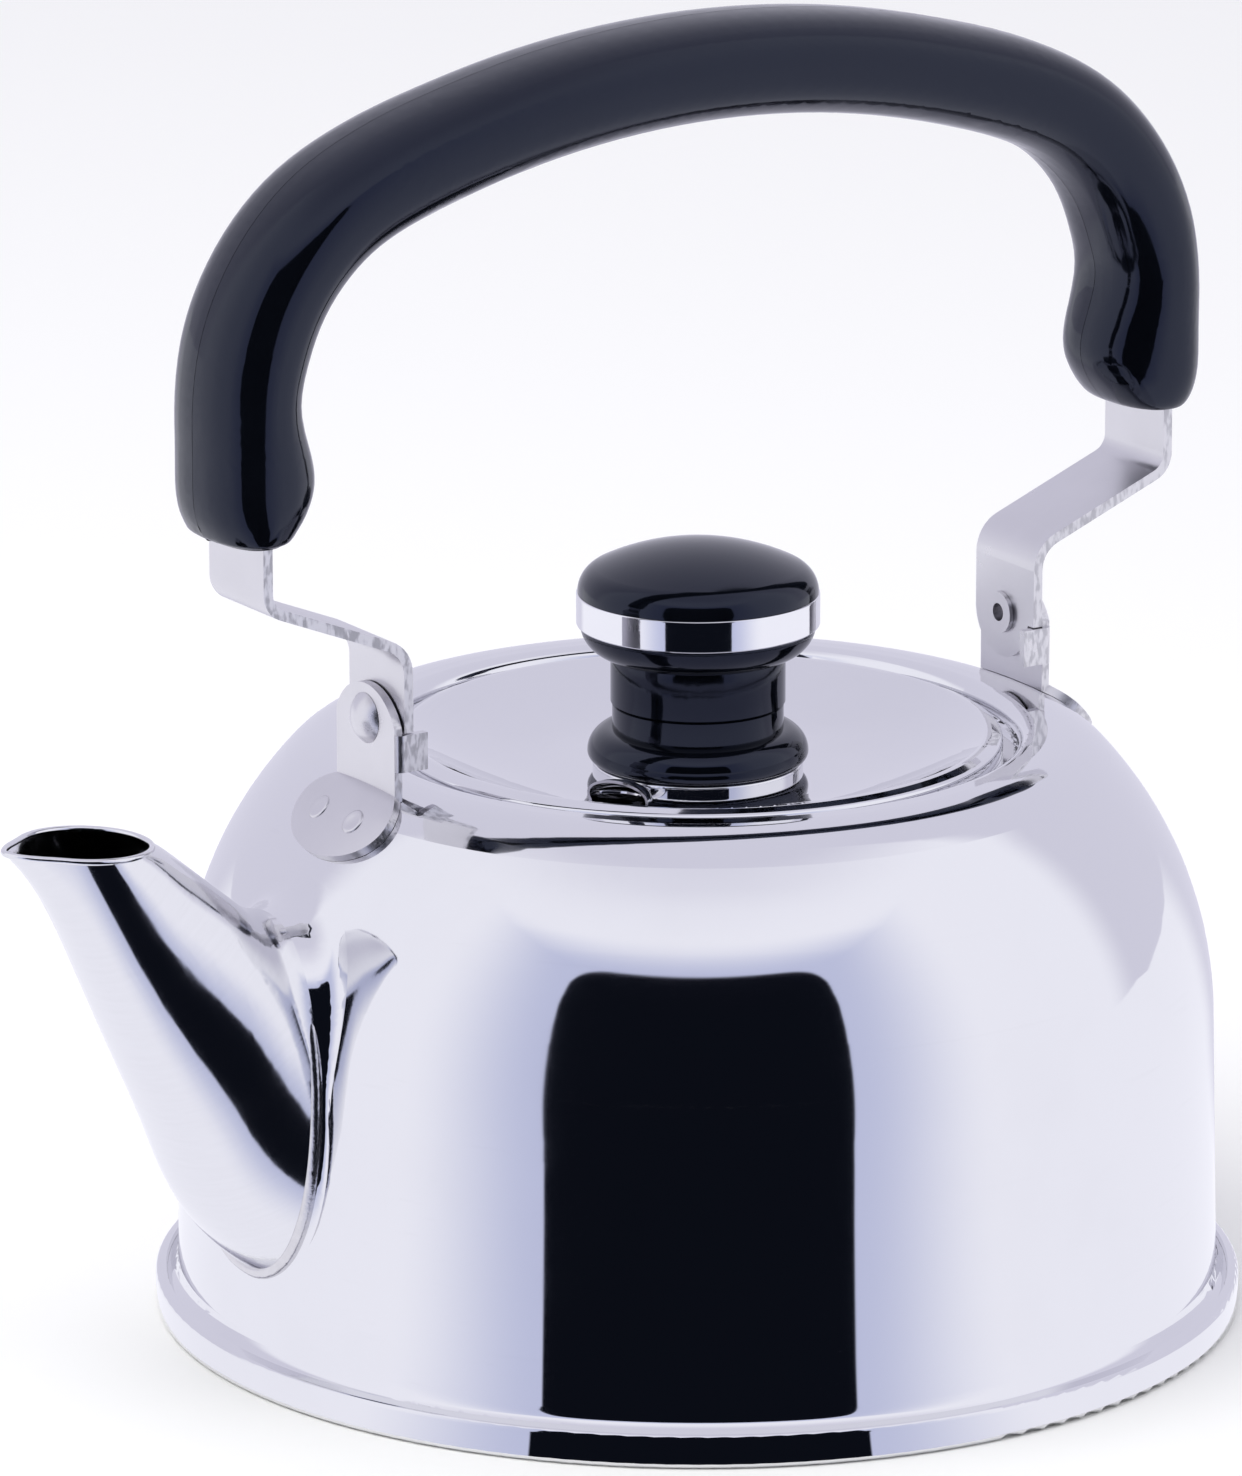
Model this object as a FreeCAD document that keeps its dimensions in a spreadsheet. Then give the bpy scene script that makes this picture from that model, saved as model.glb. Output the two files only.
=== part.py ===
import FreeCAD, Part
import math
import os
import Sketcher

# Stovetop whistling kettle: pressed steel body, welded spout, folding bail handle and lift-off
# lid with a whistle under its knob. Millimetres. +Z is up, the spout points along -X and the
# origin is the centre of the flat base.

V = FreeCAD.Vector
UP = V(0, 0, 1)
EYE = 1e-6

# ---------------------------------------------------------------- driving sizes
DIMENSIONS = (
    ("gauge", 0.6, "sheet of the body, the spout and the lid"),
    ("fit_gap", 0.05, "gap between pieces that seat in or on each other"),
    ("pan_gauge", 0.8, "sheet of the base pan"),
    ("seam_radius", 95.0, "outside of the rolled base seam"),
    ("seam_height", 5.95, "top of the rolled base seam"),
    ("seam_lip", 1.8, "how far the seam folds in over the body's flange"),
    ("seam_round", 1.2, "lower corner of the seam"),
    ("flange_rise", 1.0, "rise of the body's flange from the seam to the wall"),
    ("foot_fillet", 3.2, "round between the body's flange and its wall"),
    ("wall_radius_low", 91.1, "body wall at its foot"),
    ("wall_radius", 90.03, "body wall where the shoulder starts"),
    ("body_height", 103.0, "top of the crown round the neck"),
    ("shoulder_radius", 68.83, "profile radius of the shoulder"),
    ("crown_radius", 15.07, "profile radius of the crown"),
    ("crown_top_radius", 60.6, "distance of the crown's top from the axis"),
    ("neck_radius", 55.5, "inside of the neck round the lid"),
    ("neck_roll", 2.8, "round from the crown into the neck"),
    ("ledge_round", 0.7, "round between the neck and the lid's ledge"),
    ("ledge_step", 0.2, "straight part of the neck wall"),
    ("throat_radius", 49.5, "filling hole"),
    ("throat_round", 1.5, "round from the ledge into the throat"),
    ("throat_depth", 5.3, "throat below the ledge"),
    ("spout_bottom", 20.0, "lowest point of the spout's root"),
    ("spout_top", 81.5, "highest point of the spout's root"),
    ("spout_root_width", 40.0, "width of the spout's root"),
    ("spout_root_reach", 91.0, "distance of the root's lowest point from the axis"),
    ("spout_root_lean", 3.0, "how much nearer the root's highest point is"),
    ("spout_mouth_reach", 122.3, "distance of the mouth's centre from the axis"),
    ("spout_mouth_height", 100.5, "height of the mouth's centre"),
    ("spout_mouth_radius", 11.5, "round part of the mouth"),
    ("spout_beak", 3.8, "how far the pouring beak stands out of the round mouth"),
    ("spout_rim", 0.55, "section radius of the rolled rim"),
    ("collar_top", 10.0, "round of the drawn collar above the spout"),
    ("collar_low", 1.4, "round of the drawn collar beside and below the spout"),
    ("bead_radius", 1.25, "section radius of the weld bead"),
    ("bead_sink", 0.5, "how far the bead's centre lies under the surface"),
    ("ear_gauge", 1.5, "plate of the bail's ears"),
    ("ear_width", 19.0, "width of an ear"),
    ("ear_rise", 6.1, "top of an ear above the pivot"),
    ("ear_round", 10.4, "round of an ear's top"),
    ("ear_foot_width", 27.0, "width of an ear's oval foot"),
    ("ear_foot_length", 17.5, "length of an ear's oval foot down the shoulder"),
    ("ear_foot_reach", 71.6, "distance of the foot's centre from the axis"),
    ("ear_foot_tilt", 46.0, "tilt of the foot from the horizontal"),
    ("tab_depth", 4.5, "stop tab's reach inwards from the ear"),
    ("tab_height", 6.5, "height of the stop tab"),
    ("tab_drop", 1.0, "top of the stop tab below the pivot"),
    ("tab_gauge", 1.45, "thickness of the stop tab"),
    ("tab_inside", 9.05, "inner face of the stop tab from the middle of the ear"),
    ("tab_bend", 1.3, "round of the stop tab's bend"),
    ("stop_gap", 0.15, "gap between a stop tab and the strap's shoulder when upright"),
    ("pivot_height", 114.6, "height of the bail's pivots"),
    ("pivot_gap", 0.3, "gap between an ear and the strap"),
    ("strap_gauge", 1.8, "thickness of the bail's strap"),
    ("strap_foot_reach", 65.5, "outer face of the strap at its pivots"),
    ("strap_back", 8.1, "strap's edge on the side the bail folds to"),
    ("strap_front", 9.8, "strap's edge on the side of the stop tabs"),
    ("strap_elbow_low", 127.3, "height of the strap's lower bend"),
    ("strap_elbow_high", 138.3, "height of the strap's upper bend"),
    ("strap_bend", 5.0, "round of the strap's bends"),
    ("arch_half_width", 92.9, "outer face of the strap in the grip's legs"),
    ("arch_shoulder", 40.4, "round of the arch's shoulders"),
    ("arch_crown", 188.9, "round of the arch's crown"),
    ("arch_top", 221.2, "top of the strap's arch"),
    ("grip_width", 26.0, "width of the grip"),
    ("grip_depth", 17.4, "thickness of the grip across the arch"),
    ("grip_bulge", 3.4, "swelling at the grip's ends, on the inside"),
    ("grip_end", 149.6, "lower end of the grip"),
    ("grip_end_round", 9.0, "length over which the grip's ends round off"),
    ("grip_joint", 0.12, "joint line between the grip's two halves"),
    ("channel_gap", 0.1, "gap between the strap and the grip's channel"),
    ("rivet_radius", 2.5, "shank of a pivot rivet"),
    ("rivet_head", 4.4, "radius of a rivet's head"),
    ("rivet_dome", 2.1, "height of a rivet's head"),
    ("rivet_tail", 3.7, "radius of a rivet's rolled tail"),
    ("rivet_hollow", 1.6, "radius of the hollow in the tail"),
    ("rivet_roll", 0.8, "thickness of the rolled tail"),
    ("lid_radius", 52.9, "outside of the lid's rim"),
    ("lid_rim_peak", 102.95, "height that the rim's two slopes run up to"),
    ("lid_rim_inset", 2.6, "distance of that ridge from the lid's edge"),
    ("lid_rim_fall", 1.1, "fall of the rim from its ridge to the lid's edge"),
    ("lid_rim_round", 1.6, "round of the rim's ridge"),
    ("lid_dish_height", 95.8, "flat middle of the lid"),
    ("lid_dish_radius", 36.5, "where the lines of the flat middle and the slope meet"),
    ("lid_dish_round", 45.0, "round between the flat middle and the slope"),
    ("skirt_gauge", 0.5, "sheet of the skirt and the whistle"),
    ("skirt_gap", 0.6, "gap between the skirt and the throat"),
    ("skirt_flange", 46.4, "inner edge of the skirt's flange"),
    ("skirt_depth", 7.2, "skirt below the dish"),
    ("skirt_round", 0.8, "round between the skirt and its flange"),
    ("hood_angle", 202.0, "where the steam hood stands round the lid"),
    ("hood_reach", 24.0, "distance of the hood's mouth from the axis"),
    ("hood_width", 12.8, "width of the hood's mouth"),
    ("hood_height", 2.9, "height of the hood"),
    ("hood_length", 5.2, "length of the hood behind its mouth"),
    ("seat_radius", 18.3, "metal seat under the knob"),
    ("seat_height", 1.5, "height of the seat"),
    ("foot_radius", 19.2, "widest part of the knob's foot"),
    ("foot_edge", 1.7, "height of the foot's edge below its widest part"),
    ("foot_round", 4.3, "round of the foot's upper side"),
    ("stem_radius", 14.9, "lower stem"),
    ("foot_height", 10.4, "height of the knob's foot with its lower stem"),
    ("upper_stem_radius", 15.2, "upper stem"),
    ("upper_stem_height", 8.7, "upper stem below the skirt of the knob's head"),
    ("head_round", 5.3, "round of the underside of the knob's head"),
    ("band_radius", 21.1, "outside of the bright band"),
    ("band_gauge", 0.6, "thickness of the bright band"),
    ("band_height", 5.6, "height of the bright band"),
    ("spigot_radius", 17.6, "spigot that carries the band and the cap"),
    ("spigot_height", 2.8, "height of that spigot"),
    ("cap_radius", 20.9, "cap of the knob"),
    ("cap_edge", 5.0, "round of the cap's edge"),
    ("cap_rise", 8.7, "height of the cap above the band"),
    ("screw_radius", 2.0, "knob screw"),
    ("screw_hole", 2.6, "holes that the knob screw passes through"),
    ("screw_head", 4.4, "radius of the screw's head"),
    ("screw_head_height", 2.4, "height of the screw's head"),
    ("screw_grip", 7.0, "length of screw inside the insert"),
    ("insert_radius", 4.0, "threaded insert in the knob"),
    ("insert_length", 9.6, "length of the insert"),
    ("insert_depth", 0.8, "insert above the joint of the two stems"),
    ("washer_radius", 7.0, "washer under the lid"),
    ("washer_gauge", 0.8, "thickness of the washer"),
    ("whistle_reach", 24.0, "distance of the whistle's axis from the lid's"),
    ("whistle_radius", 8.4, "outside of the whistle's cup"),
    ("whistle_flange", 10.6, "flange of the whistle's cup"),
    ("whistle_depth", 7.0, "depth of the whistle's cup"),
    ("whistle_hole", 1.5, "radius of the two sounding holes"),
    ("whistle_step", 3.2, "upper sounding plate above the cup's floor"),
)


class Size:
    """A length worked out from the sheet: its present value and the text that binds it."""

    def __init__(self, value, text):
        self.value = value
        self.text = text

    @staticmethod
    def of(number):
        return number if isinstance(number, Size) else Size(float(number), repr(float(number)))

    def joined(self, sign, other, value):
        return Size(value, "(" + self.text + sign + other.text + ")")

    def __add__(self, other):
        other = Size.of(other)
        return self.joined(" + ", other, self.value + other.value)

    def __sub__(self, other):
        other = Size.of(other)
        return self.joined(" - ", other, self.value - other.value)

    def __mul__(self, other):
        other = Size.of(other)
        return self.joined(" * ", other, self.value * other.value)

    def __truediv__(self, other):
        other = Size.of(other)
        return self.joined(" / ", other, self.value / other.value)

    def __radd__(self, other):
        return Size.of(other) + self

    def __rsub__(self, other):
        return Size.of(other) - self

    def __rmul__(self, other):
        return Size.of(other) * self

    def __neg__(self):
        return Size.of(0) - self


def root(size):
    return Size(math.sqrt(size.value), "sqrt(" + size.text + ")")


def sine(degrees):
    return Size(math.sin(math.radians(degrees.value)), "sin(" + degrees.text + ")")


def cosine(degrees):
    return Size(math.cos(math.radians(degrees.value)), "cos(" + degrees.text + ")")


class Sizes:
    """The named sizes, read back from the sheet."""


doc = FreeCAD.newDocument("Kettle")
sheet = doc.addObject("Spreadsheet::Sheet", "Sizes")
for row, (alias, number, note) in enumerate(DIMENSIONS, start=1):
    sheet.set("A%d" % row, alias)
    sheet.set("B%d" % row, str(number))
    sheet.set("C%d" % row, note)
    sheet.setAlias("B%d" % row, alias)
doc.recompute()
D = Sizes()
for alias, number, note in DIMENSIONS:
    setattr(D, alias, Size(float(sheet.get(alias)), "Sizes." + alias))

NODES = []


def node(thing, label):
    """Names a finished piece; its label is also its file's name."""
    thing.Label = label
    NODES.append(thing)
    return thing


def bind(thing, name, size):
    size = Size.of(size)
    setattr(thing, name, size.value)
    thing.setExpression(name, size.text)


# ---------------------------------------------------------------- outlines
class Outline:
    """Draws a line of straight runs, rounds and arcs in a sketch and ties it to the sheet."""

    def __init__(self, sketch):
        self.sketch = sketch

    def rule(self, kind, *where):
        if isinstance(where[-1], Size):
            size = where[-1]
            index = self.sketch.addConstraint(Sketcher.Constraint(kind, *where[:-1], size.value))
            self.sketch.setExpression("Constraints[%d]" % index, size.text)
        else:
            self.sketch.addConstraint(Sketcher.Constraint(kind, *where))

    def pin(self, curve, end, x, y):
        """Fixes a point of a curve at x, y from the sketch's origin."""
        for kind, size, axis in (("DistanceX", x, -2), ("DistanceY", y, -1)):
            if abs(size.value) < EYE:
                self.rule("PointOnObject", curve, end, axis)
            else:
                self.rule(kind, -1, 1, curve, end, size)

    def straight(self, start, end):
        return (self.sketch.addGeometry(Part.LineSegment(start, end)), 1, 2)

    def curve(self, centre, radius, start, end):
        """Adds the shorter arc between two points and says which of its ends comes first."""
        first = math.atan2(start.y - centre.y, start.x - centre.x)
        last = math.atan2(end.y - centre.y, end.x - centre.x)
        turn = (last - first + math.pi) % (2 * math.pi) - math.pi
        ring = Part.Circle(centre, UP, radius)
        low, high = (first, first + turn) if turn > 0 else (first + turn, first)
        arc = self.sketch.addGeometry(Part.ArcOfCircle(ring, low, high))
        return (arc, 1, 2) if turn > 0 else (arc, 2, 1)

    def draw(self, steps, closed=False):
        """steps: ("to", x, y), ("round", x, y, radius) or ("arc", x, y, radius, side)."""
        steps = [(step[0],) + tuple(Size.of(size) for size in step[1:]) for step in steps]
        spots = [V(step[1].value, step[2].value, 0) for step in steps]
        here = spots[0]
        parts = []
        for place in range(1, len(steps)):
            step = steps[place]
            spot = spots[place]
            if step[0] == "to":
                parts.append(("line",) + self.straight(here, spot))
                here = spot
            elif step[0] == "arc":
                chord = spot - here
                reach = math.sqrt(max(step[3].value ** 2 - chord.Length ** 2 / 4, 0))
                across = V(-chord.y, chord.x, 0).normalize() * step[4].value
                centre = (here + spot) * 0.5 + across * reach
                arc = self.curve(centre, step[3].value, here, spot)
                self.rule("Radius", arc[0], step[3])
                parts.append(("arc",) + arc)
                here = spot
            else:
                back = (here - spot).normalize()
                ahead = (spots[place + 1] - spot).normalize()
                half = back.getAngle(ahead) / 2
                reach = step[3].value / math.tan(half)
                middle = (back + ahead).normalize() * (step[3].value / math.sin(half))
                parts.append(("line",) + self.straight(here, spot + back * reach))
                here = spot + ahead * reach
                arc = self.curve(spot + middle, step[3].value, spot + back * reach, here)
                self.rule("Radius", arc[0], step[3])
                parts.append(("round",) + arc)
        if closed:
            parts.append(("line",) + self.straight(here, spots[0]))
        self.join(parts, steps, closed)
        return [part[1] for part in parts]

    def join(self, parts, steps, closed):
        """Joins the curves end to end and fixes each corner and end point."""
        self.pin(parts[0][1], parts[0][2], steps[0][1], steps[0][2])
        place = 1
        for before, after in zip(parts, parts[1:]):
            if before[0] == "line" and after[0] == "round":
                corner = self.sketch.addGeometry(Part.Point(V(steps[place][1].value,
                                                              steps[place][2].value, 0)), True)
                self.pin(corner, 1, steps[place][1], steps[place][2])
                self.rule("PointOnObject", corner, 1, before[1])
                self.rule("Tangent", before[1], before[3], after[1], after[2])
            elif before[0] == "round":
                self.rule("PointOnObject", corner, 1, after[1])
                self.rule("Tangent", before[1], before[3], after[1], after[2])
                place += 1
            else:
                self.rule("Coincident", before[1], before[3], after[1], after[2])
                self.pin(before[1], before[3], steps[place][1], steps[place][2])
                place += 1
        last = parts[-1]
        if closed:
            self.rule("Coincident", last[1], last[3], parts[0][1], parts[0][2])
        else:
            self.pin(last[1], last[3], steps[-1][1], steps[-1][2])


FRONT_VIEW = FreeCAD.Rotation(V(1, 0, 0), 90)


def line_sketch(name, steps, closed=False, axis=None):
    """A sketch standing on edge, x out from the axis and y up; axis is its place in plan."""
    sketch = doc.addObject("Sketcher::SketchObject", name)
    sketch.Placement = FreeCAD.Placement(V(0, 0, 0), FRONT_VIEW)
    if axis:
        sketch.setExpression("Placement.Base.x", axis[0].text)
        sketch.setExpression("Placement.Base.y", axis[1].text)
    Outline(sketch).draw(steps, closed)
    return sketch


def thickened(name, sketch, gauge, side):
    """The line given the sheet's gauge: side 1 or -1 of the drawn line."""
    strip = doc.addObject("Part::Offset2D", name)
    strip.Source = sketch
    strip.Mode = "Skin"
    strip.Join = "Intersection"
    strip.Fill = True
    bind(strip, "Value", Size.of(gauge) * side)
    return strip


def spun(name, profile, axis=None):
    solid = doc.addObject("Part::Revolution", name)
    solid.Source = profile
    solid.Axis = UP
    solid.Base = V(0, 0, 0)
    solid.Angle = 360
    solid.Solid = True
    if axis:
        solid.setExpression("Base.x", axis[0].text)
        solid.setExpression("Base.y", axis[1].text)
    return solid


def pressed(label, steps, gauge, side, axis=None):
    """A round piece pressed out of sheet: the line of one face, thickened and spun."""
    sketch = line_sketch(label + "_line", steps, axis=axis)
    strip = thickened(label + "_strip", sketch, gauge, side)
    return node(spun(label + "_spun", strip, axis), label)


def turned(label, steps):
    """A solid turned or moulded piece: a PartDesign body with one closed outline."""
    body = doc.addObject("PartDesign::Body", label + "_body")
    plane = [item for item in body.Origin.OriginFeatures if item.Role == "XZ_Plane"][0]
    sketch = body.newObject("Sketcher::SketchObject", label + "_outline")
    sketch.AttachmentSupport = (plane, [""])
    sketch.MapMode = "FlatFace"
    Outline(sketch).draw(steps, closed=True)
    doc.recompute()
    spin = body.newObject("PartDesign::Revolution", label + "_turn")
    spin.Profile = sketch
    spin.ReferenceAxis = (sketch, ["V_Axis"])
    spin.Angle = 360
    body.Tip = spin
    return node(body, label)


def feature(label, shape):
    """A piece whose shape is worked out below with Part's own functions."""
    made = doc.addObject("Part::Feature", label)
    made.Shape = shape
    return made


# ---------------------------------------------------------------- body and base
floor_top = D.seam_round
leg_radius = D.seam_radius - D.pan_gauge - D.fit_gap
flange_slope = D.flange_rise / (leg_radius - D.wall_radius_low)
flange_top = D.seam_height - (D.pan_gauge + D.fit_gap) * (1 - flange_slope) - D.fit_gap
ledge_height = D.body_height - D.neck_roll - D.ledge_step - D.ledge_round

crown_centre = D.body_height - D.crown_radius
shoulder_offset = D.wall_radius - D.shoulder_radius
centre_gap = D.shoulder_radius - D.crown_radius
centre_reach = D.crown_top_radius - shoulder_offset
centre_rise = root(centre_gap * centre_gap - centre_reach * centre_reach)
shoulder_start = crown_centre - centre_rise
join_scale = D.shoulder_radius / centre_gap
join_radius = shoulder_offset + centre_reach * join_scale
join_height = shoulder_start + centre_rise * join_scale

BODY_LINE = (
    ("to", leg_radius, floor_top),
    ("round", leg_radius, flange_top, D.gauge),
    ("round", D.wall_radius_low, flange_top + D.flange_rise, D.foot_fillet),
    ("to", D.wall_radius, shoulder_start),
    ("arc", join_radius, join_height, D.shoulder_radius, 1),
    ("arc", D.crown_top_radius, D.body_height, D.crown_radius, 1),
    ("to", D.neck_radius + D.neck_roll, D.body_height),
    ("arc", D.neck_radius, D.body_height - D.neck_roll, D.neck_roll, 1),
    ("round", D.neck_radius, ledge_height, D.ledge_round),
    ("round", D.throat_radius, ledge_height, D.throat_round),
    ("to", D.throat_radius, ledge_height - D.throat_depth),
)

# The body is drawn out into a collar round the spout's root, so body and spout start as one
# skin: an outer and an inner envelope, each rounded where the two meet.
ROOT_POINTS = 20
BAR_POINTS = 24
BAR_START = 0.5


def spaced(count, start=0.0):
    return [start + 2 * math.pi * step / count for step in range(count)]


def ring_wire(points):
    curve = Part.BSplineCurve()
    curve.interpolate(Points=points, PeriodicFlag=True)
    return Part.Wire([curve.toShape()])


root_top = V(-(D.spout_root_reach - D.spout_root_lean).value, 0, D.spout_top.value)
root_bottom = V(-D.spout_root_reach.value, 0, D.spout_bottom.value)
mouth_reach = D.spout_mouth_reach.value
mouth_height = D.spout_mouth_height.value
mouth_radius = D.spout_mouth_radius.value
mouth_back = V(-(mouth_reach - mouth_radius), 0, mouth_height)
mouth_front = V(-(mouth_reach + mouth_radius), 0, mouth_height)
MOUTH_TILT = 0.05
BEAK_SPREAD = 0.42

# Sections between root and mouth: how far along the back line and the front line each one
# lies, how much the front line is pushed out from the straight, and its width as a share of
# the way from the root's width to the mouth's.
SPOUT_SECTIONS = (
    (-0.30, -0.10, 0.0, 0.00),
    (0.00, 0.00, 0.0, 0.00),
    (0.20, 0.13, 3.2, 0.10),
    (0.40, 0.31, 3.0, 0.34),
    (0.62, 0.51, 2.0, 0.62),
    (0.82, 0.73, 0.8, 0.84),
)


def oval_points(back, front, width, inset):
    """A full oval standing between its highest point and its lowest."""
    middle = (back + front) * 0.5
    along = (back - front).normalize()
    half_long = (back - front).Length / 2 - inset
    half_wide = width / 2 - inset
    points = []
    for turn in spaced(ROOT_POINTS):
        square = (abs(math.cos(turn)) ** 2.2 + abs(math.sin(turn)) ** 2.2) ** (-1 / 2.2)
        points.append(middle + along * (half_long * math.cos(turn) * square)
                      + V(0, half_wide * math.sin(turn) * square, 0))
    return points


def mouth_points(inset):
    """The round mouth with its beak, in a plane that rises a little towards the beak."""
    points = []
    for turn in spaced(ROOT_POINTS):
        off_beak = math.pi - abs((turn + math.pi) % (2 * math.pi) - math.pi)
        beak = D.spout_beak.value * math.exp(-(off_beak / BEAK_SPREAD) ** 2)
        reach = mouth_radius + beak - inset
        points.append(V(-mouth_reach + reach * math.cos(turn), reach * math.sin(turn),
                        mouth_height - MOUTH_TILT * reach * math.cos(turn)))
    return points


def spout_envelope(inset):
    sections = []
    mouth_width = 2 * mouth_radius
    root_width = D.spout_root_width.value
    for back_share, front_share, push, narrowing in SPOUT_SECTIONS:
        back = root_top + (mouth_back - root_top) * back_share
        front = root_bottom + (mouth_front - root_bottom) * front_share + V(-push, 0, -push / 2)
        width = root_width + (mouth_width - root_width) * narrowing
        sections.append(ring_wire(oval_points(back, front, width, inset)))
    return Part.makeLoft(sections + [ring_wire(mouth_points(inset))], True, False)


def round_bar(line, radius):
    """A bar of round section along a closed line, begun on the far side from the skin's seam."""
    curve = line.Edges[0]
    first = curve.FirstParameter
    span = curve.LastParameter - first
    shares = [(step / BAR_POINTS + BAR_START) % 1.0 for step in range(BAR_POINTS)]
    wire = ring_wire([curve.valueAt(first + span * share) for share in shares])
    edge = wire.Edges[0]
    start = edge.valueAt(edge.FirstParameter)
    heading = edge.tangentAt(edge.FirstParameter)
    section = Part.Wire([Part.makeCircle(radius, start, heading)])
    return wire.makePipeShell([section], True, False)


def axis_solid(wire):
    """The solid inside a line, closed along the kettle's axis."""
    first = wire.OrderedVertexes[0].Point
    last = wire.OrderedVertexes[-1].Point
    corners = [last, V(0, 0, last.z), V(0, 0, first.z), first]
    closing = [Part.makeLine(one, two) for one, two in zip(corners, corners[1:])]
    outline = Part.Face(Part.Wire(Part.__sortEdges__(wire.Edges + closing)))
    return outline.revolve(V(0, 0, 0), UP, 360)


def ordered(line):
    return Part.Wire(Part.__sortEdges__(line.Shape.Edges))


def root_edges(shape):
    """The edges where the spout's envelope meets the body's, as (number, edge) pairs."""
    found = []
    for number, edge in enumerate(shape.Edges, start=1):
        box = edge.BoundBox
        beside = -D.spout_root_reach.value - 2 < box.XMin and box.XMax < -D.wall_radius.value / 2
        level = D.spout_bottom.value - 3 < box.ZMin and box.ZMax < D.spout_top.value + 4
        if beside and level and edge.Length > 3:
            found.append((number, edge))
    return found


def rounded_envelope(name, line, inset):
    """Body and spout in one, with the collar's round growing towards the top of the root."""
    joined = axis_solid(ordered(line)).fuse(spout_envelope(inset))
    base = feature(name + "_sharp", joined)
    low = D.collar_low.value + inset
    high = D.collar_top.value + inset
    rounds = []
    for number, edge in root_edges(joined):
        ends = [edge.valueAt(edge.FirstParameter), edge.valueAt(edge.LastParameter)]
        above = [end.z > D.spout_top.value - 8 for end in ends]
        rounds.append((number, high if above[0] else low, high if above[1] else low))
    collar = doc.addObject("Part::Fillet", name)
    collar.Base = base
    collar.Edges = rounds
    return collar


def boolean(kind, name, base, tool):
    made = doc.addObject("Part::" + kind, name)
    made.Base = base
    made.Tool = tool
    return made


body_line = line_sketch("body_line", BODY_LINE)
body_inner_line = thickened("body_inner_line", body_line, D.gauge, 1)
body_inner_line.Fill = False
doc.recompute()
outer_skin = rounded_envelope("outer_skin", body_line, 0)
inner_skin = rounded_envelope("inner_skin", body_inner_line, D.gauge.value)
skin = boolean("Cut", "skin", outer_skin, inner_skin)

SEAM_BOX = V(80, 110, 104)
SEAM_START = 8
lean = math.degrees(math.atan2(D.spout_root_lean.value, (D.spout_top - D.spout_bottom).value))
seam_box = Part.makeBox(SEAM_BOX.x, SEAM_BOX.y, SEAM_BOX.z,
                        V(-SEAM_BOX.x, -SEAM_BOX.y / 2, -SEAM_START))
seam_box.rotate(V(0, 0, 0), V(0, 1, 0), lean)
seam_box.translate(root_bottom)
seam_side = feature("seam_side", seam_box)
node(boolean("Cut", "body_without_spout", skin, seam_side), "body_shell")

spout_tube = boolean("Common", "spout_tube", skin, seam_side)
doc.recompute()
rim = round_bar(ring_wire(mouth_points(D.gauge.value / 2)), D.spout_rim.value)
node(feature("spout_with_rim", spout_tube.Shape.Solids[0].fuse(rim)), "spout")

bead_line = oval_points(root_top, root_bottom, D.spout_root_width.value, D.bead_sink.value)
bead = round_bar(ring_wire(bead_line), D.bead_radius.value)
node(feature("bead_ring", bead), "spout_weld_bead")

pressed("base_pan", (
    ("to", D.seam_radius - D.seam_lip, D.seam_height + D.seam_lip * flange_slope),
    ("round", D.seam_radius, D.seam_height, D.pan_gauge),
    ("round", D.seam_radius, 0, D.seam_round),
    ("to", 0, 0),
), D.pan_gauge, -1)


# ---------------------------------------------------------------- bail, ears and rivets
EARS = (("front", -1), ("rear", 1))
ear_inside = D.strap_foot_reach + D.pivot_gap
ear_outside = ear_inside + D.ear_gauge


def shoulder_solid(growth):
    """The body's wall, shoulder and crown, grown outwards."""
    centre = V(shoulder_offset.value, 0, shoulder_start.value)
    crown = V(D.crown_top_radius.value, 0, crown_centre.value)
    bearing = (crown - centre).normalize()
    big = D.shoulder_radius.value + growth
    small = D.crown_radius.value + growth
    start = centre + V(big, 0, 0)
    middle = centre + (V(1, 0, 0) + bearing).normalize() * big
    meet = centre + bearing * big
    top = crown + UP * small
    turn = crown + (bearing + UP).normalize() * small
    corners = [top, V(0, 0, top.z), V(0, 0, start.z), start]
    edges = [Part.Arc(start, middle, meet).toShape(), Part.Arc(meet, turn, top).toShape()]
    edges += [Part.makeLine(one, two) for one, two in zip(corners, corners[1:])]
    return Part.Face(Part.Wire(edges)).revolve(V(0, 0, 0), UP, 360)


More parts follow.
